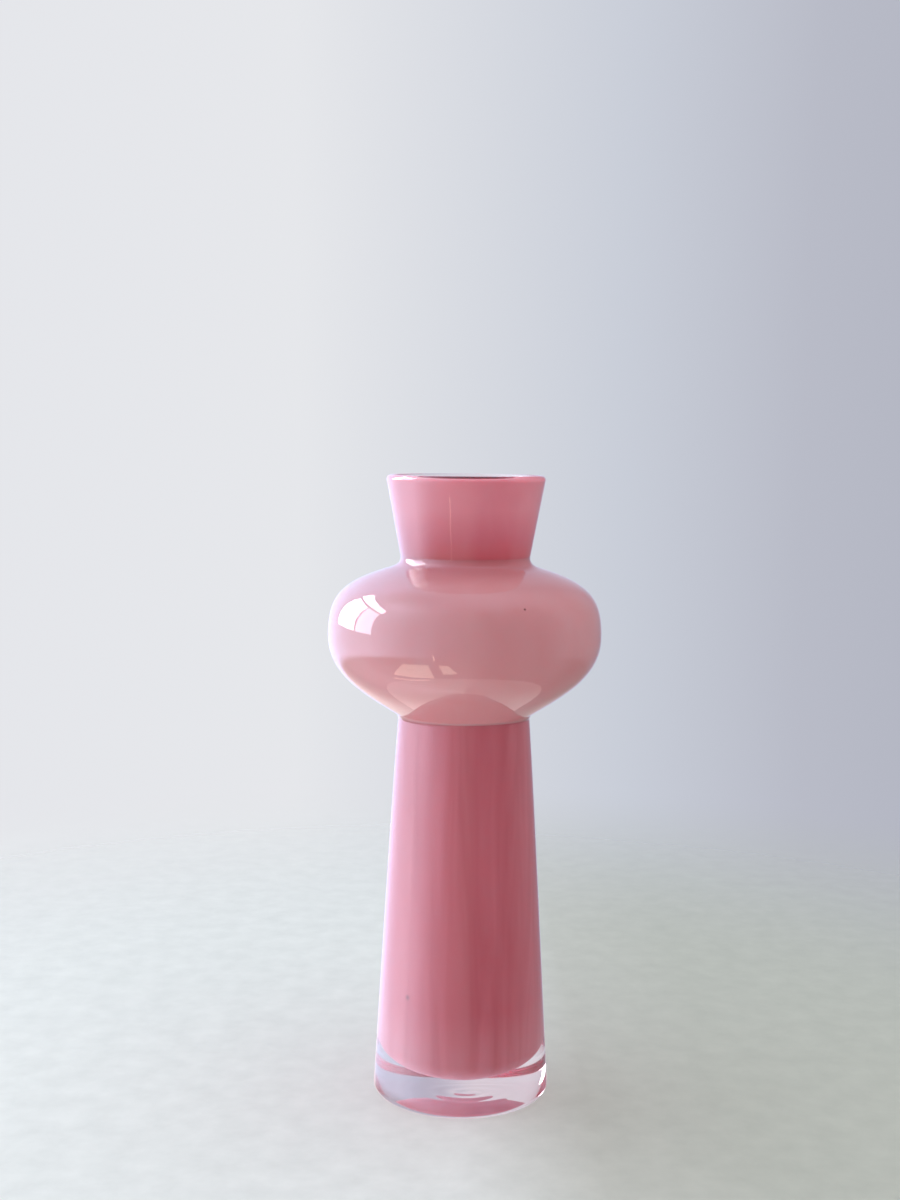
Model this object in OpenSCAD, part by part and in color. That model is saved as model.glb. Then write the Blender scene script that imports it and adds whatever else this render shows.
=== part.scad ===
// Hand blown vase of cased glass: a flared column on a solid clear foot carries a squat bulb and a
// waisted neck. Pink glass lines a clear outer skin. The origin is on the axis, at the base.

/* [Overall] */
// Height from the base to the top of the lip
height = 312; // [308:1:318]
// Short straight pieces along each curve of the outline
steps = 20; // [12:1:32]

/* [Foot] */
// Diameter of the foot where it stands
foot_d = 88.4; // [84:0.4:94]
// Radius of the rounded edge under the foot
foot_round = 4; // [2:0.5:5]
// Clear glass under the middle of the lining
floor_wall = 10; // [8:0.5:14]
// Diameter of the ground hollow under the foot
hollow_d = 74; // [66:1:74]
// Depth of that hollow
hollow_depth = 2.6; // [1.6:0.2:4]

/* [Column] */
// Height of the join between the column and the bulb
join_z = 192.6; // [188:0.2:196]
// Diameter of the column at the join
column_top_d = 65.4; // [64:0.2:68]
// Diameter of the pink lining just above its rounded end
lining_low_d = 55.6; // [50:0.2:58]
// Height of the rounded end of the lining
lining_end_h = 13; // [10:0.5:18]

/* [Bulb] */
// Largest diameter of the bulb
bulb_d = 136; // [128:1:144]
// Height of that largest diameter
bulb_z = 232.7; // [230:0.1:236]
// Slope of the bulb's underside where it leaves the join
underside_deg = 33; // [28:1:38]
// Slope of the shoulder where it meets the neck
shoulder_deg = 17; // [12:1:22]
// Diameter of the shoulder where it turns up into the neck
shoulder_d = 76; // [74:0.5:80]
// Height of that turn
shoulder_z = 265.9; // [264:0.1:267]

/* [Neck] */
// Diameter of the neck at its waist
waist_d = 64.4; // [62:0.2:67]
// Height of the waist
waist_z = 272; // [271:0.5:275]
// Diameter of the flared mouth, outside
mouth_d = 78.6; // [74:0.2:84]
// Height of the clear lip
lip_h = 3.4; // [3:0.2:6]

/* [Glass] */
// Thickness of the clear skin over the bulb and the neck
skin_wall = 2.6; // [2:0.1:3.2]
// Thickness of the pink lining
lining_wall = 1.8; // [1.2:0.1:2.4]
// Length that the bead covers on each side of the crease at the join
bead_reach = 1.4; // [1:0.1:2]
// How far the bead bulges out of the crease
bead_bulge = 0.5; // [0.3:0.1:1]

/* [Hidden] */
$fn = 96;

clear_tint = [0.93, 0.90, 0.93, 0.45];
column_pink = [0.80, 0.42, 0.50];
bulb_pink = [0.85, 0.55, 0.60];
neck_pink = [0.80, 0.45, 0.52];

wall = skin_wall + lining_wall;
foot_r = foot_d / 2;
column_top_r = column_top_d / 2;
lining_top_r = column_top_r - skin_wall;
lining_low_r = lining_low_d / 2;
bulb_r = bulb_d / 2;
lip_z = height - lip_h;

// Points along a cubic curve from a to d, pulled by the handles b and c
function curve(a, b, c, d) =
    [for (i = [0:steps]) let (t = i / steps, s = 1 - t)
        s * s * s * a + 3 * s * s * t * b + 3 * s * t * t * c + t * t * t * d];

// Points along an arc about c
function arc(c, r, from, to, n) =
    [for (i = [0:n]) let (a = from + (to - from) * i / n) c + r * [cos(a), sin(a)]];

// The sideways unit vector at point i of a line of points, which is towards the axis going up
function inward(p, i) =
    let (d = p[min(i + 1, len(p) - 1)] - p[max(i - 1, 0)]) [-d[1], d[0]] / norm(d);

// A line of points moved w towards the axis
function inset(p, w) = [for (i = [0:len(p) - 1]) p[i] + w * inward(p, i)];

function reversed(p) = [for (i = [len(p) - 1:-1:0]) p[i]];
function tail(p) = [for (i = [1:len(p) - 1]) p[i]];
function below(p, z) = [for (q = p) if (q[1] < z) q];

// Outlines are [radius, height], going up.

// Outside of the column: it draws in fast above the foot and is nearly straight near the join
crease = [column_top_r, join_z];
column_wall = curve([foot_r, foot_round], [foot_r - 3.8, 68], [column_top_r + 3.8, 142], crease);
foot_edge = arc([foot_r - foot_round, foot_round], foot_round, -90, 0, 6);

// Outside of the pink lining in the column: a shallow rounded end, then an almost straight tube
lining_end_top = [lining_low_r, floor_wall + lining_end_h];
lining_end = curve([0, floor_wall], [12, floor_wall + 1], [lining_low_r + 0.8, floor_wall + 4.8],
                   lining_end_top);
lining_tube = curve(lining_end_top, [lining_low_r + 0.8, 62], [lining_top_r, 122],
                    [lining_top_r, join_z]);
column_inside = concat(lining_end, tail(lining_tube));

// Outside of the bulb, from the crease over the widest point to the shoulder
underside = curve(crease, crease + 20 * [cos(underside_deg), sin(underside_deg)],
                  [bulb_r, bulb_z - 20], [bulb_r, bulb_z]);
shoulder = [shoulder_d / 2, shoulder_z];
shoulder_run = [-cos(shoulder_deg), sin(shoulder_deg)];
topside = curve([bulb_r, bulb_z], [bulb_r, bulb_z + 19], shoulder - 25 * shoulder_run, shoulder);

// Outside of the neck: a tight fillet into the waist, then a straight flare up to the lip
waist = [waist_d / 2, waist_z];
lip_round = wall / 2;
mouth = [mouth_d / 2, height - lip_round];
flare = (mouth - waist) / norm(mouth - waist);
fillet = curve(shoulder, shoulder + 4 * shoulder_run, waist - 3.2 * flare, waist);
bulb_wall = concat(underside, tail(topside), tail(fillet));

// The point on the neck at height z, w deep in its wall
function in_neck(z, w) = waist + flare * (z - waist_z) / flare[1] - [w / flare[1], 0];

// The inside of the bulb's wall at depth w, rounded about the crease so that it runs on from the column
function bulb_inside(w) =
    concat(arc(crease, w, 180, 90 + underside_deg, 6), tail(below(inset(bulb_wall, w), waist_z - 0.2)),
           [in_neck(waist_z, w)]);

// The stretch of the neck's wall between the depths outer and inner
function neck_band(outer, inner) =
    [in_neck(waist_z, outer), in_neck(lip_z, outer), in_neck(lip_z, inner), in_neck(waist_z, inner)];

// A ring with the outline p about the axis
module turned(p) {
    rotate_extrude() polygon(p);
}

// The clear outer gather of the column, solid at the foot, with a shallow ground hollow beneath
module column_casing() {
    dome_r = (pow(hollow_d / 2, 2) + pow(hollow_depth, 2)) / (2 * hollow_depth);
    color(clear_tint)
        difference() {
            turned(concat([[0, 0]], foot_edge, tail(column_wall), reversed(column_inside)));
            translate([0, 0, hollow_depth - dome_r]) sphere(dome_r, $fn = 360);
        }
}

// The pink bubble in the column
module column_lining() {
    inner = inset(column_inside, lining_wall);
    color(column_pink)
        turned(concat(column_inside, [[lining_top_r - lining_wall, join_z]],
                      reversed(below(tail(inner), join_z - 1)), [[0, floor_wall + lining_wall]]));
}

// The clear skin of the bulb, up to the waist
module bulb_casing() {
    color(clear_tint)
        turned(concat(bulb_wall, reversed(bulb_inside(skin_wall))));
}

// The pale pink glass in the bulb
module bulb_lining() {
    color(bulb_pink)
        turned(concat(bulb_inside(skin_wall), reversed(bulb_inside(wall))));
}

// The clear skin of the neck, from the waist to the lip
module neck_casing() {
    color(clear_tint) turned(neck_band(0, skin_wall));
}

// The deeper pink glass in the neck
module neck_lining() {
    color(neck_pink) turned(neck_band(skin_wall, wall));
}

// The bead in the crease where the two sections were joined hot
module join_bead() {
    along_bulb = (underside[1] - crease) / norm(underside[1] - crease);
    down_column = column_wall[steps - 1] - crease;
    foot_of_bead = crease + bead_reach * down_column / norm(down_column);
    top_of_bead = crease + bead_reach * along_bulb;
    bulge = bead_bulge * [cos(underside_deg - 60), sin(underside_deg - 60)];
    low_pull = foot_of_bead + 0.6 * (crease - foot_of_bead) + bulge;
    high_pull = top_of_bead + 0.6 * (crease - top_of_bead) + bulge;
    color(clear_tint)
        turned(concat([crease], curve(foot_of_bead, low_pull, high_pull, top_of_bead)));
}

// The fire-polished clear lip that closes both layers
module lip() {
    rim = mouth - [lip_round, 0];
    color(clear_tint)
        turned(concat([in_neck(lip_z, 0)], arc(rim, lip_round, 0, 180, 16), [in_neck(lip_z, wall)]));
}

column_casing();
column_lining();
bulb_casing();
bulb_lining();
neck_casing();
neck_lining();
join_bead();
lip();
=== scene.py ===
"""The looks of a hand blown cased glass vase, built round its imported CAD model. Metres, +Z up."""

import math

import bmesh
import bpy
import numpy as np
from mathutils import Euler, Matrix, Vector


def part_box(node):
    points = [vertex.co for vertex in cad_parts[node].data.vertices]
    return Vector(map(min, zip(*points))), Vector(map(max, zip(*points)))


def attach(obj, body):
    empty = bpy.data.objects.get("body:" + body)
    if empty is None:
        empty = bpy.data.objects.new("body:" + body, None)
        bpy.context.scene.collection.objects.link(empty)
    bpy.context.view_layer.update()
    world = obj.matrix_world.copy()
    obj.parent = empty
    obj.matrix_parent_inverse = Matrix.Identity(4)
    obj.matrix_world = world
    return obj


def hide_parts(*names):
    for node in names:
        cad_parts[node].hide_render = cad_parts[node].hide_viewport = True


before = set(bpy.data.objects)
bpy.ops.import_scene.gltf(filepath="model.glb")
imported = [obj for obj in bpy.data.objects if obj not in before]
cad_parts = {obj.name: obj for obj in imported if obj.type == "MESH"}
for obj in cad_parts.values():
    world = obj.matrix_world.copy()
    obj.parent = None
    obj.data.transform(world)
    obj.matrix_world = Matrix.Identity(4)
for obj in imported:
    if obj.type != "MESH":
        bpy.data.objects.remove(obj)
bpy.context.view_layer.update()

MM = 0.001
SEGMENTS = 192  # faces round the axis
STEPS = 40  # faces along each curve of an outline
OVERLAP = 0.06 * MM  # how far glass that is fused to its neighbour sinks into it
UP = (0, 0, 1)


# ---------------------------------------------------------------- camera

CAMERA_PLACE = (-0.00748, -0.80157, 0.32688)
CAMERA_LENS = 48.57
CAMERA_DOWN = 5.489  # degrees below level
CAMERA_ROLL = 0.516  # degrees


def make_camera():
    """The camera stands a little left of the vase, just above its lip, and looks slightly down."""
    data = bpy.data.cameras.new("camera")
    data.sensor_width = 36
    data.lens = CAMERA_LENS
    camera = bpy.data.objects.new("camera", data)
    bpy.context.scene.collection.objects.link(camera)
    camera.location = CAMERA_PLACE
    pitch = Euler((math.radians(90 - CAMERA_DOWN), 0, 0)).to_matrix()
    roll = Matrix.Rotation(math.radians(CAMERA_ROLL), 3, "Z")
    camera.rotation_euler = (pitch @ roll).to_euler()
    bpy.context.scene.camera = camera


make_camera()


# ---------------------------------------------------------------- outlines, as (radius, height)

# Points of an inner outline nearer than this to its end ring are left out
WAIST_GAP = 0.2 * MM
JOIN_GAP = 0.5 * MM


def curve(a, b, c, d, steps=STEPS):
    """Points along a cubic curve from a to d, pulled by the handles b and c."""
    a, b, c, d = (np.array(p, float) for p in (a, b, c, d))
    t = np.linspace(0, 1, steps + 1)[:, None]
    s = 1 - t
    return s**3 * a + 3 * s * s * t * b + 3 * s * t * t * c + t**3 * d


def arc(centre, radius, start, end, steps=10):
    """Points along an arc, between two angles in degrees."""
    angle = np.radians(np.linspace(start, end, steps + 1))
    return np.array(centre) + radius * np.stack([np.cos(angle), np.sin(angle)], 1)


def inset(line, depth):
    """A line of points moved towards the axis by depth."""
    along = np.gradient(line, axis=0)
    along /= np.linalg.norm(along, axis=1)[:, None]
    return line + depth * np.stack([-along[:, 1], along[:, 0]], 1)


def widest(node):
    """Half of a CAD node's smaller width, so that a piece never passes it."""
    low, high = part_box(node)
    return min(high.x - low.x, high.y - low.y) / 2


# Sizes that the CAD model gives
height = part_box("lip")[1].z
join_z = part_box("column_casing")[1].z
lip_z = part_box("lip")[0].z
foot_r = widest("column_casing")
bulb_r = widest("bulb_casing") - 0.03 * MM  # just inside the CAD model's own
mouth_r = widest("lip")

# Sizes that match the CAD model's own, inside its boxes
column_top_r = 32.7 * MM
foot_round = 4 * MM
base_hollow_r = 37 * MM
base_hollow_depth = 2.6 * MM
floor_wall = 10 * MM
skin_wall = 2.6 * MM
lining_wall = 1.8 * MM
wall = skin_wall + lining_wall
lining_low_r = 27.8 * MM
lining_belly_r = lining_low_r + 0.8 * MM
lining_top_r = column_top_r - skin_wall
lining_end_h = 13 * MM
bulb_z = 232.7 * MM
underside = math.radians(33)
shoulder_slope = math.radians(17)
bead_reach = 1.4 * MM
bead_bulge = 0.5 * MM
bead_droop = math.radians(60)  # how far below the bulb's underside the bead faces
bead_pull = 0.6  # how far towards the crease the bead's outline is pulled
shoulder = np.array([38 * MM, 265.9 * MM])
waist = np.array([32.2 * MM, 272 * MM])
lip_round = wall / 2
mouth = np.array([mouth_r, height - lip_round])

# Finer shapes that only this model has
pontil_r = 20 * MM
pontil_ripple = 0.22 * MM
pontil_x, pontil_y = 3 * MM, -2 * MM
pontil_winding = 5 * math.pi  # the angle of the swirl from its middle to its rim
pontil_rise = 0.25  # the share of its radius in which the ripple comes up from nothing
lining_edge_r = 0.75 * MM  # the round edge in which the pink ends inside the lip
lining_edge_drop = 0.35 * MM

crease = np.array([column_top_r, join_z])
column_wall = curve((foot_r, foot_round), (foot_r - 3.8 * MM, 68 * MM),
                    (column_top_r + 3.8 * MM, 142 * MM), crease)
foot_edge = arc((foot_r - foot_round, foot_round), foot_round, -90, 0)

lining_end_top = (lining_low_r, floor_wall + lining_end_h)
lining_end = curve((0, floor_wall), (12 * MM, floor_wall + 1 * MM),
                   (lining_belly_r, floor_wall + 4.8 * MM), lining_end_top)
lining_tube = curve(lining_end_top, (lining_belly_r, 62 * MM), (lining_top_r, 122 * MM),
                    (lining_top_r, join_z))
column_inside = np.concatenate([lining_end, lining_tube[1:]])

underside_run = np.array([math.cos(underside), math.sin(underside)])
shoulder_run = np.array([-math.cos(shoulder_slope), math.sin(shoulder_slope)])
flare = (mouth - waist) / np.linalg.norm(mouth - waist)
bulb_low = curve(crease, crease + 20 * MM * underside_run, (bulb_r, bulb_z - 20 * MM), (bulb_r, bulb_z))
bulb_high = curve((bulb_r, bulb_z), (bulb_r, bulb_z + 19 * MM), shoulder - 25 * MM * shoulder_run,
                  shoulder)
fillet = curve(shoulder, shoulder + 4 * MM * shoulder_run, waist - 3.2 * MM * flare, waist)
bulb_wall = np.concatenate([bulb_low, bulb_high[1:], fillet[1:]])


def beside_crease(point):
    """The edge of the bead on the way from the crease to a point."""
    return crease + bead_reach * (point - crease) / np.linalg.norm(point - crease)


bead_low = beside_crease(column_wall[-2])
bead_high = beside_crease(bulb_low[1])


def in_neck(z, depth):
    """The point on the neck at height z, depth deep in its wall."""
    return waist + flare * (z - waist[1]) / flare[1] - [depth / flare[1], 0]


def neck_line(depth, low, high):
    """The neck's wall at a depth under its skin, between two heights."""
    return np.linspace(in_neck(low, depth), in_neck(high, depth), STEPS)


def bulb_inside(depth):
    """The bulb's wall at a depth under its skin, rounded about the crease below it."""
    start = arc(crease, depth, 180, 90 + math.degrees(underside))
    moved = inset(bulb_wall, depth)[1:]
    moved = moved[moved[:, 1] < waist[1] - WAIST_GAP]
    return np.concatenate([start, moved, [in_neck(waist[1], depth)]])


# ---------------------------------------------------------------- node helpers


def feed(tree, socket, value):
    """Gives a socket a plain value, or links another node's output to it."""
    if isinstance(value, bpy.types.NodeSocket):
        tree.links.new(value, socket)
    else:
        socket.default_value = value


def add(tree, kind, **inputs):
    """Adds a shader node and feeds its inputs, which are named with _ for each space."""
    node = tree.nodes.new(kind)
    for name, value in inputs.items():
        feed(tree, node.inputs[name.replace("_", " ")], value)
    return node


def ramp(tree, factor, stops):
    """A colour ramp with stops given as (position, colour)."""
    node = tree.nodes.new("ShaderNodeValToRGB")
    tree.links.new(factor, node.inputs[0])
    elements = node.color_ramp.elements
    while len(elements) < len(stops):
        elements.new(0.5)
    for element, (position, colour) in zip(elements, stops):
        element.position = position
        element.color = (*colour, 1)
    return node.outputs[0]


def maths(tree, operation, *values):
    """The result of a sum on numbers."""
    node = tree.nodes.new("ShaderNodeMath")
    node.operation = operation
    for socket, value in zip(node.inputs, values):
        feed(tree, socket, value)
    return node.outputs[0]


def vector_maths(tree, operation, *values):
    """The result of a sum on points or colours: a number if it measures a length, else a vector."""
    node = tree.nodes.new("ShaderNodeVectorMath")
    node.operation = operation
    for socket, value in zip(node.inputs, values):
        feed(tree, socket, value)
    return node.outputs["Value" if operation in ("LENGTH", "DISTANCE") else "Vector"]


def mix_colours(tree, factor, first, second):
    """The first colour where factor is 0, the second where it is 1."""
    node = tree.nodes.new("ShaderNodeMix")
    node.data_type = "RGBA"
    feed(tree, node.inputs["Factor"], factor)
    first_colour, second_colour = (socket for socket in node.inputs if socket.type == "RGBA")
    feed(tree, first_colour, first)
    feed(tree, second_colour, second)
    return next(socket for socket in node.outputs if socket.type == "RGBA")


def smooth_step(tree, value, low, high):
    """0 below low, 1 above high."""
    node = add(tree, "ShaderNodeMapRange", Value=value, From_Min=low, From_Max=high)
    node.interpolation_type = "SMOOTHSTEP"
    return node.outputs["Result"]


def blank_material(name):
    """A material and its empty node tree."""
    material = bpy.data.materials.new(name)
    material.use_nodes = True
    material.node_tree.nodes.clear()
    return material, material.node_tree


def output(tree, shader):
    """Makes this shader the material's surface."""
    add(tree, "ShaderNodeOutputMaterial", Surface=shader)


def mix_shaders(tree, factor, first, second):
    """The first shader where factor is 0, the second where it is 1."""
    mix = tree.nodes.new("ShaderNodeMixShader")
    for socket, value in zip(mix.inputs, (factor, first, second)):
        feed(tree, socket, value)
    return mix.outputs[0]


# ---------------------------------------------------------------- stage and light

# Light that falls on things, by how far to the right it comes from
LIGHT = [
    (0.0, (0.85, 0.88, 1.02)),
    (0.3, (0.72, 0.73, 0.77)),
    (0.55, (0.60, 0.60, 0.61)),
    (1.0, (0.66, 0.66, 0.66)),
]
# What gloss shows, by bearing in degrees: 0 is towards the viewer, -90 left, 180 behind the vase
ROOM = [
    (-180, (0.8, 0.87, 1.1)),
    (-150, (2.1, 2.4, 3.3)),
    (-110, (3.4, 3.75, 4.7)),
    (-88, (4.4, 4.8, 5.9)),
    (-70, (3.7, 4.1, 5.1)),
    (-45, (1.9, 2.1, 2.55)),
    (-20, (0.85, 0.85, 0.95)),
    (5, (0.7, 0.7, 0.72)),
    (22, (0.1, 0.1, 0.1)),
    (70, (0.06, 0.06, 0.06)),
    (95, (0.45, 0.45, 0.5)),
    (130, (0.35, 0.36, 0.4)),
    (155, (0.3, 0.32, 0.4)),
    (180, (0.8, 0.87, 1.1)),
]
# The same, looking well down
GROUND = [
    (-180, (1.0, 0.98, 0.96)),
    (-165, (1.5, 1.42, 1.36)),
    (-152, (0.9, 0.87, 0.84)),
    (-140, (0.7, 0.68, 0.68)),
    (-105, (1.5, 1.5, 1.6)),
    (-48, (1.1, 1.05, 1.0)),
    (0, (0.9, 0.85, 0.8)),
    (25, (0.15, 0.14, 0.14)),
    (120, (0.06, 0.06, 0.06)),
    (160, (0.3, 0.3, 0.3)),
    (180, (1.0, 0.98, 0.96)),
]
# The same, looking straight up
OVERHEAD = (0.85, 0.92, 1.15)
# How high a direction points where one of the three takes over from the one below it
GROUND_TO_ROOM = (-0.41, -0.28)
ROOM_TO_OVERHEAD = (0.70, 0.99)
# What the camera sees behind the vase, by how far to the right it is
BACKDROP = [
    (0.36, (0.785, 0.795, 0.83)),
    (0.454, (0.79, 0.80, 0.83)),
    (0.5525, (0.585, 0.615, 0.69)),
    (0.605, (0.485, 0.50, 0.575)),
    (0.66, (0.44, 0.455, 0.53)),
]
# Light runs round inside the thick foot many times before it comes out
BOUNCES = 28
STRAIGHT_THROUGH = 24  # faces that let light through without bending it, on one ray


def panorama(tree, turn, stops):
    """A ramp round the compass, with stops given as (bearing in degrees, colour)."""
    return ramp(tree, turn, [(0.5 + degrees / 360, colour) for degrees, colour in stops])


def room_round_about(tree, direction):
    """What gloss shows: the ground, the room over it and the even ceiling over that."""
    forward = maths(tree, "MULTIPLY", direction.outputs["Y"], -1.0)
    bearing = maths(tree, "ARCTAN2", direction.outputs["X"], forward)
    turn = maths(tree, "MULTIPLY_ADD", bearing, 0.5 / math.pi, 0.5)
    above_ground = smooth_step(tree, direction.outputs["Z"], *GROUND_TO_ROOM)
    shown = mix_colours(tree, above_ground, panorama(tree, turn, GROUND), panorama(tree, turn, ROOM))
    above_room = smooth_step(tree, direction.outputs["Z"], *ROOM_TO_OVERHEAD)
    return mix_colours(tree, above_room, shown, (*OVERHEAD, 1))


def make_world():
    """Soft daylight from the left. What lights the vase, what its gloss shows and what lies behind it
    are set apart, because the room in front is dark but full of soft bounced light."""
    world = bpy.data.worlds.new("daylight")
    world.use_nodes = True
    tree = world.node_tree
    tree.nodes.clear()
    place = tree.nodes.new("ShaderNodeTexCoord").outputs["Generated"]
    direction = add(tree, "ShaderNodeSeparateXYZ", Vector=place)
    across = maths(tree, "MULTIPLY_ADD", direction.outputs["X"], 0.5, 0.5)
    colours = (ramp(tree, across, LIGHT), room_round_about(tree, direction), ramp(tree, across, BACKDROP))
    light, room, backdrop = (
        add(tree, "ShaderNodeBackground", Color=colour, Strength=1.0).outputs[0] for colour in colours
    )
    path = tree.nodes.new("ShaderNodeLightPath")
    straight = maths(tree, "MAXIMUM", path.outputs["Is Camera Ray"], path.outputs["Is Transmission Ray"])
    shader = mix_shaders(tree, path.outputs["Is Glossy Ray"], light, room)
    shader = mix_shaders(tree, straight, shader, backdrop)
    add(tree, "ShaderNodeOutputWorld", Surface=shader)
    bpy.context.scene.world = world
    bpy.context.scene.view_settings.view_transform = "Standard"
    paths = bpy.context.scene.cycles
    paths.max_bounces = paths.glossy_bounces = paths.transmission_bounces = BOUNCES
    paths.transparent_max_bounces = STRAIGHT_THROUGH


FLOOR_R = 1.2
FLOOR_DROP = 0.3 * MM  # the foot stands on it at a few points only, with air between
FLOOR_FADE = (0.24, 0.75)  # distances between which the floor gives way to the backdrop
FLOOR_GRAIN = [(0.3, (0.77, 0.82, 0.79)), (0.7, (0.85, 0.90, 0.87))]
# Painted shade on the floor, from 200 mm left of the vase to 200 mm right of it: darker away from the
# window
FLOOR_HALF = 0.2
FLOOR_PAINTED_SHADE = [(0.50, (1, 1, 1)), (0.66, (0.70, 0.69, 0.64)), (0.85, (0.64, 0.64, 0.58))]
# Painted glow on the floor under the foot, for light the thick glass gathers there, from the axis out to 50
# mm
GATHERED_OUT_TO = 0.05
PAINTED_GLOW = [(0.0, (0.30, 0.46, 0.54)), (0.70, (0.30, 0.46, 0.54)), (0.78, (0, 0, 0))]


def floor_material():
    """Fine pale grain, darker at the right by painted shade, and lit under the foot by a painted glow. It
    fades out into the backdrop, and gloss does not show it, because it shows the room's own ground instead."""
    material, tree = blank_material("floor")
    place = tree.nodes.new("ShaderNodeTexCoord").outputs["Object"]
    grain = add(tree, "ShaderNodeTexNoise", Vector=place, Scale=60.0, Detail=6.0, Roughness=0.6)
    sideways = add(tree, "ShaderNodeSeparateXYZ", Vector=place).outputs["X"]
    across = maths(tree, "MULTIPLY_ADD", sideways, 0.5 / FLOOR_HALF, 0.5)
    # painted shade: the floor's colour is darkened towards the right, away from the window
    colour = vector_maths(tree, "MULTIPLY", ramp(tree, grain.outputs["Fac"], FLOOR_GRAIN),
                          ramp(tree, across, FLOOR_PAINTED_SHADE))
    distance = vector_maths(tree, "LENGTH", place)
    # painted glow: the floor emits light under the foot, where the glass would gather it
    painted_glow = ramp(tree, maths(tree, "MULTIPLY", distance, 1 / GATHERED_OUT_TO), PAINTED_GLOW)
    shader = add(tree, "ShaderNodeBsdfPrincipled", Base_Color=colour, Roughness=0.7,
                 Emission_Color=painted_glow, Emission_Strength=1.0)
    clear = tree.nodes.new("ShaderNodeBsdfTransparent")
    path = tree.nodes.new("ShaderNodeLightPath")
    gone = maths(tree, "MAXIMUM", smooth_step(tree, distance, *FLOOR_FADE), path.outputs["Is Glossy Ray"])
    output(tree, mix_shaders(tree, gone, shader.outputs[0], clear.outputs[0]))
    return material


def make_floor():
    """A plain pale floor that fades into the backdrop, so there is no horizon."""
    mesh = bpy.data.meshes.new("floor")
    floor = bpy.data.objects.new("floor", mesh)
    bpy.context.scene.collection.objects.link(floor)
    shape = bmesh.new()
    bmesh.ops.create_circle(shape, cap_ends=True, radius=FLOOR_R, segments=96)
    shape.to_mesh(mesh)
    shape.free()
    mesh.materials.append(floor_material())
    floor.location.z = -FLOOR_DROP


WINDOW_FACING = Vector((0.863, -0.505, 0))
WINDOW_ALONG = Vector((-0.505, -0.863, 0))  # towards the viewer
WINDOW_FOOT = Vector((-0.95, 0.22, 0))  # on the floor, below the middle of the window
WINDOW_SIZE = (1.02, 0.86)
SKY = (0.93, 0.95, 1.0)
SUN = (1.0, 0.90, 0.70)


def panel(name, middle, facing, size, up, colour, radiance, shape="RECTANGLE"):
    """A flat lamp: size is (across, along up), radiance is how bright its face looks."""
    data = bpy.data.lights.new(name, "AREA")
    data.shape = shape
    data.size, data.size_y = size
    data.color = colour
    data.energy = radiance * math.pi * size[0] * size[1]
    lamp = bpy.data.objects.new(name, data)
    bpy.context.scene.collection.objects.link(lamp)
    back = -Vector(facing).normalized()
    upward = Vector(up).normalized()
    across = upward.cross(back)
    turn = Matrix((across, upward, back)).transposed().to_4x4()
    lamp.matrix_world = Matrix.Translation(middle) @ turn
    lamp.visible_camera = False
    return lamp


def only_for(lamp, *kinds):
    """Of the diffuse, glossy and transmission rays, only these kinds find the lamp."""
    lamp.visible_diffuse = "diffuse" in kinds
    lamp.visible_glossy = "glossy" in kinds
    lamp.visible_transmission = "transmission" in kinds


def in_window(along, z, forward=0.0):
    """A place in the window, or this far in front of it."""
    return WINDOW_FOOT + along * WINDOW_ALONG + forward * WINDOW_FACING + Vector((0, 0, z))


def make_window():
    """A window to the left and a little behind: two tall panes under a long top light. Gloss shows the
    panes, one soft lamp in their place gives the light, and two more fill in."""
    for name, along, width, low, high, colour, radiance in (
        ("window_far_pane", -0.22, 0.46, 0.24, 0.84, SKY, 12.5),
        ("window_near_pane", 0.25, 0.40, 0.24, 0.84, (0.78, 0.86, 1.0), 9.0),
        ("window_top_light", 0.0, 1.02, 0.89, 1.10, SKY, 12.5),
    ):
        middle = in_window(along, (low + high) / 2)
        pane = panel(name, middle, WINDOW_FACING, (width, high - low), UP, colour, radiance)
        only_for(pane, "glossy")
    # the part of the window that shows through the edge of the foot, just in front of the panes
    gleam = panel("window_gleam", in_window(-0.22, 0.36, 0.01), WINDOW_FACING, (0.24, 0.24), UP, SKY, 9.0)
    only_for(gleam, "transmission")
    for name, middle, facing, size, up, colour, radiance in (
        ("window_light", in_window(0, 0.62), WINDOW_FACING, WINDOW_SIZE, UP, (0.94, 0.96, 1.0), 2.2),
        ("ceiling", (0.1, -0.1, 1.5), (0, 0, -1), (1.4, 1.4), (0, 1, 0), (1.0, 0.98, 0.98), 0.7),
        ("warm_fill", (0.35, -0.20, 0.15), (-0.8, 0.45, 0.1), (0.4, 0.4), UP, (1.0, 0.80, 0.76), 0.24),
    ):
        only_for(panel(name, middle, facing, size, up, colour, radiance), "diffuse")


def make_sun_patches(receivers, linings):
    """Sun on the ground in front and to the left, and the pale table. They show in the clear glass of
    the receivers, and the light that the ground throws back up falls on the linings."""
    for patch in (
        panel("sun_patch", (-0.214, -0.210, 0.005), UP, (0.16, 0.21), (0.5, 0.866, 0), SUN, 3.7),
        panel("sun_strip", (-0.150, -0.092, 0.005), UP, (0.125, 0.012), (0.64, 0.77, 0), SUN, 3.2),
        panel("sun_patch_small", (-0.085, -0.300, 0.005), UP, (0.055, 0.16), (0.42, 0.907, 0), SUN, 3.7),
        panel("table_top", (0, 0, 0.001), UP, (0.36, 0.36), (0, 1, 0), (1.0, 0.96, 0.92), 0.62, "DISK"),
        panel("sun_sliver", (-0.187, -0.41, 0.09), (0.415, 0.91, 0), (0.004, 0.08), UP, SUN, 9.0),
    ):
        only_for(patch, "glossy", "transmission")
        patch.light_linking.receiver_collection = receivers
    bounce = panel("sun_bounce", (-0.21, -0.17, 0.004), UP, (0.26, 0.26), (0, 1, 0), (1.0, 0.80, 0.66), 1.1)
    only_for(bounce, "diffuse", "transmission")
    bounce.light_linking.receiver_collection = linings


def light_the_column(lining):
    """The column stands in more of the window's light than the bulb."""
    middle = in_window(0, 0.5)
    glow = panel("window_light_low", middle, WINDOW_FACING, WINDOW_SIZE, UP, (1.0, 0.95, 1.0), 2.2)
    only_for(glow, "diffuse")
    glow.light_linking.receiver_collection = lining


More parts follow.
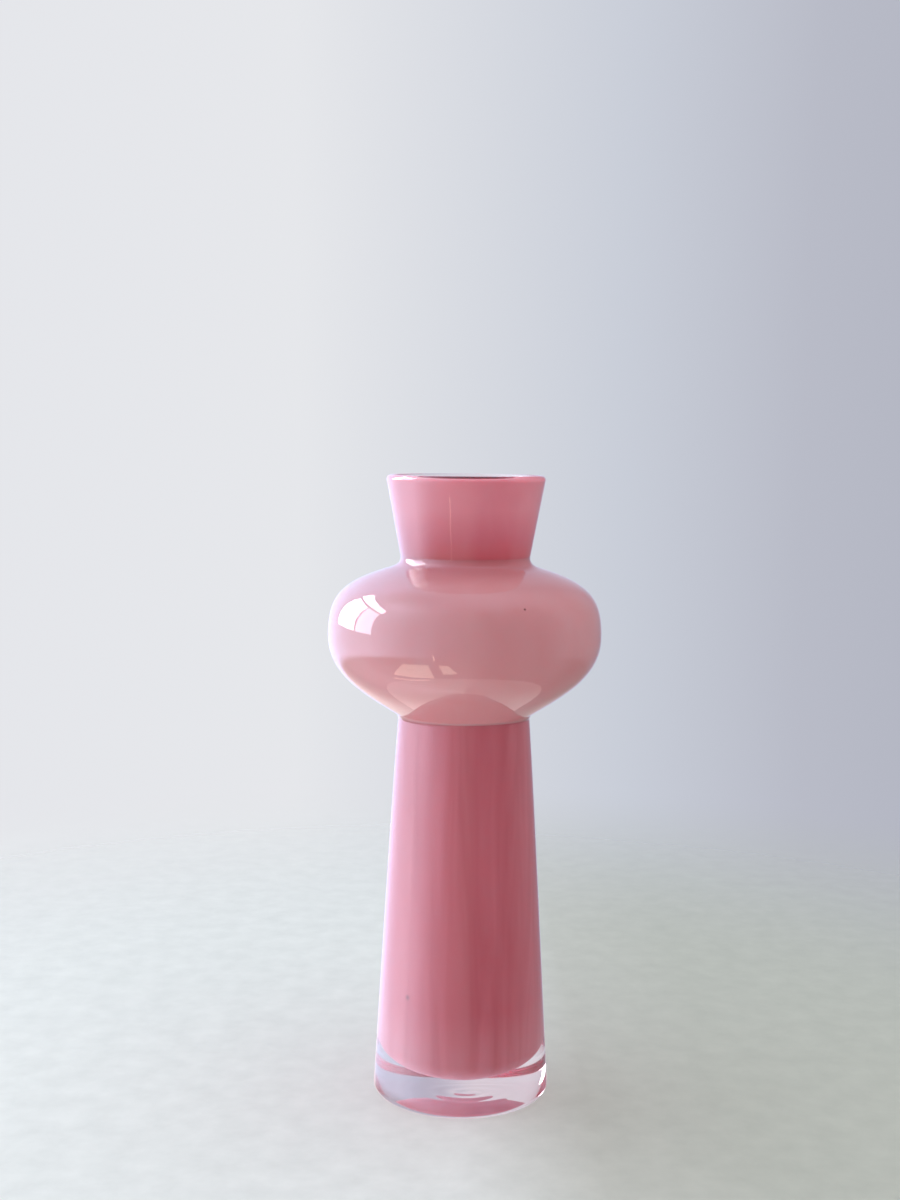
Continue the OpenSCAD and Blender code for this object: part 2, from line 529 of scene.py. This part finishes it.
def group(name, pieces):
    """A collection of pieces that a lamp can be limited to."""
    members = bpy.data.collections.new(name)
    for piece in pieces:
        members.objects.link(bpy.data.objects[piece])
    return members


make_world()
make_floor()
make_window()


# ---------------------------------------------------------------- materials

GLASS_IOR = 1.5
CLEAR = (0.985, 0.965, 0.975)
CLEAR_FOOT = (0.965, 0.92, 0.94)
FOOT_SHARE = (0.045, 0.10)  # shares of the height between which the foot's tint gives way to the wall's
SPECK = (0.22, 0.07, 0.08)
SCATTER_DEPTH = 2 * MM
SCATTER_BY_COLOUR = (1.0, 0.45, 0.5)


def share_of_height(tree, place):
    """0 at the foot, 1 at the lip."""
    return maths(tree, "DIVIDE", add(tree, "ShaderNodeSeparateXYZ", Vector=place).outputs["Z"], height)


def clear_glass(name, foot_tint=None):
    """Clear glass. Lamp light and scattered light pass straight through it to what is behind. The thick
    foot takes up more colour than the thin walls."""
    material, tree = blank_material(name)
    glass = add(tree, "ShaderNodeBsdfGlass", Color=(*CLEAR, 1), Roughness=0.0, IOR=GLASS_IOR)
    if foot_tint:
        place = tree.nodes.new("ShaderNodeTexCoord").outputs["Object"]
        tint = ramp(tree, share_of_height(tree, place), list(zip(FOOT_SHARE, (foot_tint, CLEAR))))
        feed(tree, glass.inputs["Color"], tint)
    straight = add(tree, "ShaderNodeBsdfTransparent", Color=(*CLEAR, 1))
    path = tree.nodes.new("ShaderNodeLightPath")
    soft_ray = maths(tree, "MAXIMUM", path.outputs["Is Shadow Ray"], path.outputs["Is Diffuse Ray"])
    output(tree, mix_shaders(tree, soft_ray, glass.outputs[0], straight.outputs[0]))
    return material


def fused_face():
    """Where two clear pieces are one glass: light goes through without bending."""
    material, tree = blank_material("fused_face")
    output(tree, tree.nodes.new("ShaderNodeBsdfTransparent").outputs[0])
    return material


def opal_glass(name, pale, deep, depth, grain, specks, glossy):
    """Pink opaline: milky glass, clouded or streaked as grain says (cells per metre each way), and
    lighter or deeper by height with painted light and shade. depth lists (height in mm, tint) from low to
    high.
    specks lists (point, reach) for the dark grains caught in the glass."""
    material, tree = blank_material(name)
    place = tree.nodes.new("ShaderNodeTexCoord").outputs["Object"]
    drawn = add(tree, "ShaderNodeMapping", Vector=place, Scale=grain).outputs[0]
    streaks = add(tree, "ShaderNodeTexNoise", Vector=drawn, Scale=1.0, Detail=4.0, Distortion=0.7)
    drawn_pink = ramp(tree, streaks.outputs["Fac"], [(0.1, pale), (0.9, deep)])
    # painted light and shade by height, multiplied into the pink
    stops = [(z * MM / height, tint) for z, tint in depth]
    pink = vector_maths(tree, "MULTIPLY", drawn_pink, ramp(tree, share_of_height(tree, place), stops))
    for point, reach in specks:
        outside = smooth_step(tree, vector_maths(tree, "DISTANCE", place, point), reach / 2, reach)
        pink = mix_colours(tree, outside, (*SPECK, 1), pink)
    shader = add(tree, "ShaderNodeBsdfPrincipled", Base_Color=pink, Roughness=0.12, IOR=GLASS_IOR,
                 Subsurface_Weight=1.0, Subsurface_Radius=SCATTER_BY_COLOUR,
                 Subsurface_Scale=SCATTER_DEPTH)
    if not glossy:
        shader.inputs["Specular IOR Level"].default_value = 0.0
        shader.inputs["Roughness"].default_value = 1.0
    output(tree, shader.outputs[0])
    return material


def opal_pair(name, pale, deep, depth, grain, specks=()):
    """One pink for the face fused to the clear glass, and the same with a gloss for the bare inside."""
    fused_side = opal_glass(name, pale, deep, depth, grain, specks, False)
    return [fused_side, opal_glass(name + "_inside", pale, deep, depth, grain, (), True)]


def on_outside(outline, bearing, z):
    """The point on a lining's outside at a bearing in degrees and a height."""
    r = np.interp(z, outline[:, 1], outline[:, 0])
    return (r * math.cos(math.radians(bearing)), r * math.sin(math.radians(bearing)), z)


casing_glass = clear_glass("clear_casing", CLEAR_FOOT)
skin_glass = clear_glass("clear_skin")
lip_glass = clear_glass("clear_lip")
bead_glass = clear_glass("clear_bead")
fused = fused_face()

column_opal = opal_pair(
    "pink_column",
    pale=(0.66, 0.21, 0.26),
    deep=(0.50, 0.112, 0.142),
    # painted light: paler low in the column, where light comes up through the thick clear foot
    depth=[(10, (1.12, 1.6, 1.5)), (48, (1, 1, 1))],
    grain=(105, 105, 7),
    specks=[(on_outside(column_inside, -143, 53.5 * MM), 1.3 * MM)],
)
bulb_opal = opal_pair(
    "pink_bulb",
    pale=(0.71, 0.37, 0.40),
    deep=(0.675, 0.305, 0.315),
    # painted shade: deeper towards the waist, where the neck darkens the shoulder
    depth=[(260, (1, 1, 1)), (266, (0.94, 0.78, 0.82)), (272, (0.86, 0.56, 0.60))],
    grain=(35, 35, 30),
    specks=[(on_outside(bulb_inside(skin_wall - OVERLAP), -64, 250.5 * MM), 0.7 * MM)],
)
neck_opal = opal_pair(
    "pink_neck",
    pale=(0.80, 0.33, 0.395),
    deep=(0.72, 0.265, 0.32),
    # painted shade: deeper towards the waist, low in the neck
    depth=[(272, (0.84, 0.5, 0.5)), (282, (0.9, 0.68, 0.72)), (296, (1, 1, 1))],
    grain=(50, 50, 22),
)


# ---------------------------------------------------------------- pieces

ON_AXIS = 1e-6  # a point nearer to the axis than this is on it
SHARP = math.radians(35)  # edges that bend more than this stay sharp


def lathe(name, outline, second=()):
    """A closed solid of revolution. Points on the axis become one vertex. The bands that start at the
    points listed in second get the second material."""
    mesh = bpy.data.meshes.new(name)
    shape = bmesh.new()
    angles = np.linspace(0, 2 * math.pi, SEGMENTS, endpoint=False)
    rings = []
    for r, z in outline:
        if r < ON_AXIS:
            rings.append([shape.verts.new((0, 0, z))])
        else:
            rings.append([shape.verts.new((r * math.cos(a), r * math.sin(a), z)) for a in angles])
    pairs = list(zip(range(len(rings)), range(1, len(rings))))
    if len(rings[0]) > 1:
        pairs.append((len(rings) - 1, 0))
    for i, j in pairs:
        low, high = rings[i], rings[j]
        for k in range(SEGMENTS):
            n = (k + 1) % SEGMENTS
            if len(low) == 1:
                corners = (low[0], high[n], high[k])
            elif len(high) == 1:
                corners = (low[k], low[n], high[0])
            else:
                corners = (low[k], low[n], high[n], high[k])
            face = shape.faces.new(corners)
            face.smooth = True
            if i in second:
                face.material_index = 1
    shape.normal_update()
    for edge in shape.edges:
        if edge.calc_face_angle(0) > SHARP:
            edge.smooth = False
    shape.to_mesh(mesh)
    shape.free()
    piece = bpy.data.objects.new(name, mesh)
    bpy.context.scene.collection.objects.link(piece)
    return piece


def fit_piece(piece, node, materials):
    """Gives a piece its materials, hangs it from the root body and hides the CAD model's node that it
    stands in for.
    """
    for material in materials:
        piece.data.materials.append(material)
    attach(piece, "root")
    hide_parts(node)


def polish_off_pontil(mesh):
    """The faint swirl that is left in the middle of the hollow, a little off the axis."""
    for vertex in mesh.vertices:
        if vertex.co.z > floor_wall / 2:
            continue
        x, y = vertex.co.x - pontil_x, vertex.co.y - pontil_y
        share = math.hypot(x, y) / pontil_r
        if share < 1:
            swirl = math.cos(pontil_winding * share + math.atan2(y, x))
            strength = (1 - share) * min(1, share / pontil_rise)
            vertex.co.z += pontil_ripple * swirl * strength


def make_column_casing():
    """The clear outer gather: solid at the foot, with the ground hollow beneath."""
    base_sphere_r = (base_hollow_r**2 + base_hollow_depth**2) / (2 * base_hollow_depth)
    spread = math.degrees(math.asin(base_hollow_r / base_sphere_r))
    middle = (0, base_hollow_depth - base_sphere_r)
    hollow = arc(middle, base_sphere_r, 90, 90 - spread, 2 * STEPS)
    outside = np.concatenate([hollow, foot_edge, column_wall[1:-1], [bead_low]])
    outline = np.concatenate([outside, [crease], column_inside[::-1]])
    piece = lathe("clear_column_casing", outline, (len(outside) - 1, len(outside)))
    polish_off_pontil(piece.data)
    fit_piece(piece, "column_casing", [casing_glass, fused])


def make_column_lining():
    """The pink bubble inside it."""
    outside = inset(column_inside, -OVERLAP)
    outside[0] = (0, floor_wall - OVERLAP)
    outside[-1] = (lining_top_r + OVERLAP, join_z)
    inner = inset(column_inside, lining_wall)
    inner = inner[inner[:, 1] < join_z - JOIN_GAP]
    inner[0] = (0, floor_wall + lining_wall)
    outline = np.concatenate([outside, [[lining_top_r - lining_wall, join_z]], inner[::-1]])
    piece = lathe("pink_column_lining", outline, range(len(outside), len(outline)))
    fit_piece(piece, "column_lining", column_opal)


def make_bulb_casing():
    """The clear skin of the bulb, from the crease up to the waist."""
    outside = np.concatenate([[crease, bead_high], bulb_wall[1:]])
    outline = np.concatenate([outside, bulb_inside(skin_wall)[::-1]])
    piece = lathe("clear_bulb_casing", outline, (0, len(outside) - 1, len(outline) - 1))
    fit_piece(piece, "bulb_casing", [skin_glass, fused])


def make_bulb_lining():
    """The pale pink glass in the bulb."""
    outside = bulb_inside(skin_wall - OVERLAP)
    outline = np.concatenate([outside, bulb_inside(wall)[::-1]])
    piece = lathe("pink_bulb_lining", outline, range(len(outside), len(outline)))
    fit_piece(piece, "bulb_lining", bulb_opal)


def make_neck_casing():
    """The clear skin of the neck, from the waist up to the lip."""
    outside = neck_line(0, waist[1], lip_z)
    outline = np.concatenate([outside, neck_line(skin_wall, waist[1], lip_z)[::-1]])
    piece = lathe("clear_neck_casing", outline, (len(outside) - 1, len(outline) - 1))
    fit_piece(piece, "neck_casing", [skin_glass, fused])


def make_neck_lining():
    """The deeper pink glass in the neck. It ends in a round edge inside the lip's clear glass."""
    outside = neck_line(skin_wall - OVERLAP, waist[1], lip_z)
    edge = in_neck(mouth[1] - lining_edge_drop, skin_wall - OVERLAP)
    end = arc(edge - [lining_edge_r, 0], lining_edge_r, 0, 180, 12)
    inside = neck_line(wall, waist[1], lip_z)[::-1]
    outline = np.concatenate([outside, end, inside])
    piece = lathe("pink_neck_lining", outline, range(len(outside) + len(end), len(outline)))
    fit_piece(piece, "neck_lining", neck_opal)


def make_lip():
    """The fire-polished rim that closes both layers."""
    rim = mouth - [lip_round, 0]
    top = arc(rim, lip_round, 0, 180, 24)
    outline = np.concatenate([[in_neck(lip_z, 0)], top, [in_neck(lip_z, wall)]])
    piece = lathe("clear_lip", outline, [len(outline) - 1])
    fit_piece(piece, "lip", [lip_glass, fused])


def make_join_bead():
    """The fine bead in the crease under the bulb."""
    aim = underside - bead_droop
    out = bead_bulge * np.array([math.cos(aim), math.sin(aim)])
    toward_low = bead_pull * (crease - bead_low) + out
    toward_high = bead_pull * (crease - bead_high) + out
    outside = curve(bead_low, bead_low + toward_low, bead_high + toward_high, bead_high, 12)
    outline = np.concatenate([[crease], outside])
    piece = lathe("join_bead", outline, [0, len(outline) - 1])
    fit_piece(piece, "join_bead", [bead_glass, fused])


make_column_casing()
make_column_lining()
make_bulb_casing()
make_bulb_lining()
make_neck_casing()
make_neck_lining()
make_lip()
make_join_bead()

upper_skins = group("sunlit", ["clear_bulb_casing", "clear_neck_casing"])
all_linings = group("linings", ["pink_column_lining", "pink_bulb_lining", "pink_neck_lining"])
make_sun_patches(upper_skins, all_linings)
light_the_column(group("column_linings", ["pink_column_lining"]))
